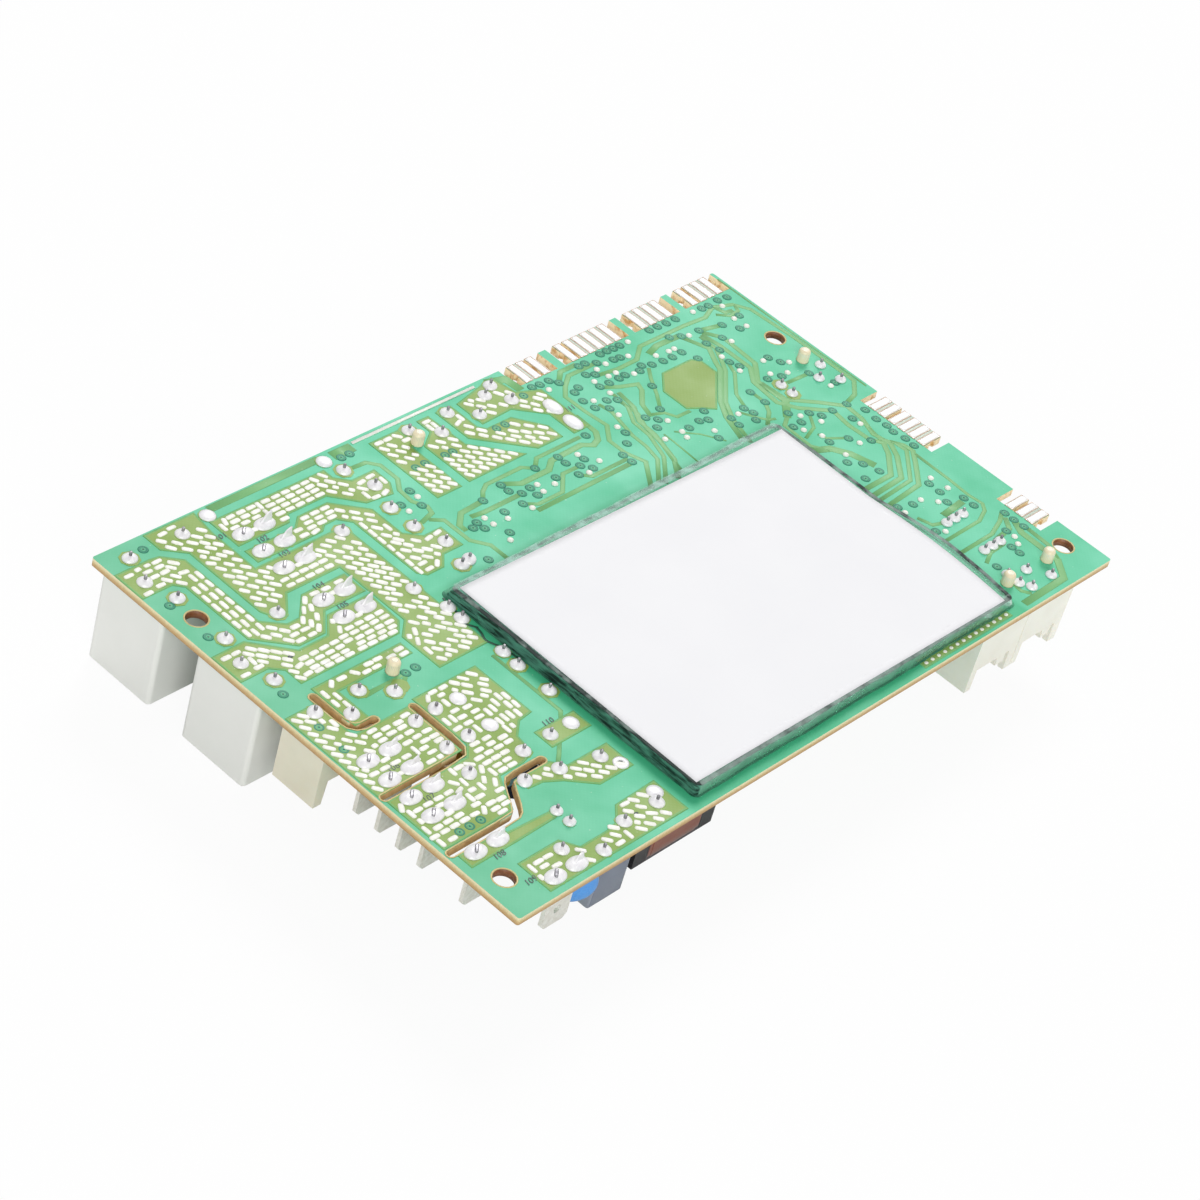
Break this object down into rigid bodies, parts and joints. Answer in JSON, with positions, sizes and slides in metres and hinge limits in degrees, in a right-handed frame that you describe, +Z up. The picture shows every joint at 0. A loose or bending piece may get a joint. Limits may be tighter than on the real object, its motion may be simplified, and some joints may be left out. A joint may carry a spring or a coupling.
{
  "type": "oven power board",
  "caption": "Flat circuit board with relays, blade tabs, plug headers and notched edge contacts, which switches an oven's loads.",
  "frame": {"origin": "middle of the board's outline, on the surface that the relays stand on", "axes": "+X along the board from the blade tab end, +Y from the front header edge to the rear contact edge, +Z up out of the solder side"},
  "size_m": [0.165, 0.1036, 0.0244],
  "materials": {
    "mask": "green solder mask, satin",
    "copper_under_mask": "olive, copper under green mask",
    "tin": "tinned copper",
    "solder": "bright solder",
    "clear_film": "clear moulded film",
    "label_paper": "matt white paper",
    "relay_case": "light grey moulded plastic",
    "relay_base": "black moulded plastic",
    "tab_metal": "tinned brass",
    "cream_nylon": "cream nylon",
    "contact_metal": "tinned contact",
    "film_case": "grey box case",
    "blue_lacquer": "blue epoxy coat",
    "ochre_lacquer": "ochre epoxy coat",
    "black_lacquer": "dark epoxy coat",
    "ferrite": "dark grey-brown ferrite",
    "bobbin_plastic": "black phenolic",
    "winding_tape": "brown polyester tape",
    "can_sleeve": "black shrink sleeve",
    "resistor_body": "grey-green cement coat",
    "black_epoxy": "moulded black epoxy",
    "crystal_can": "drawn steel can"
  },
  "bodies": {
    "root": {"circuit_board": "mask", "copper_areas": "copper_under_mask", "contact_fingers": "tin", "solder_joints": "solder", "clear_cover": "clear_film", "label": "label_paper", "relay_case_1": "relay_case", "relay_case_2": "relay_case", "relay_case_3": "relay_case", "relay_case_4": "relay_case", "relay_base_1": "relay_base", "relay_base_2": "relay_base", "relay_base_3": "relay_base", "relay_base_4": "relay_base", "blade_tab_1": "tab_metal", "blade_tab_2": "tab_metal", "blade_tab_3": "tab_metal", "blade_tab_4": "tab_metal", "blade_tab_5": "tab_metal", "blade_tab_6": "tab_metal", "blade_tab_7": "tab_metal", "blade_tab_8": "tab_metal", "blade_tab_9": "tab_metal", "blade_tab_10": "tab_metal", "blade_tab_11": "tab_metal", "left_header": "cream_nylon", "left_header_contacts": "contact_metal", "rear_header": "cream_nylon", "rear_header_contacts": "contact_metal", "right_header": "cream_nylon", "right_header_contacts": "contact_metal", "front_header": "cream_nylon", "front_header_contacts": "contact_metal", "film_capacitor": "film_case", "varistor": "blue_lacquer", "thermistor": "black_lacquer", "disc_capacitor_1": "ochre_lacquer", "disc_capacitor_2": "ochre_lacquer", "transformer_core": "ferrite", "transformer_bobbin": "bobbin_plastic", "transformer_winding": "winding_tape", "bulk_capacitor": "can_sleeve", "output_capacitor_1": "can_sleeve", "output_capacitor_2": "can_sleeve", "small_capacitor_1": "can_sleeve", "small_capacitor_2": "can_sleeve", "power_resistor": "resistor_body", "rectifier_diode_1": "black_epoxy", "rectifier_diode_2": "black_epoxy", "optocoupler": "black_epoxy", "microcontroller": "black_epoxy", "voltage_regulator": "black_epoxy", "crystal": "crystal_can"}
  },
  "joints": []
}
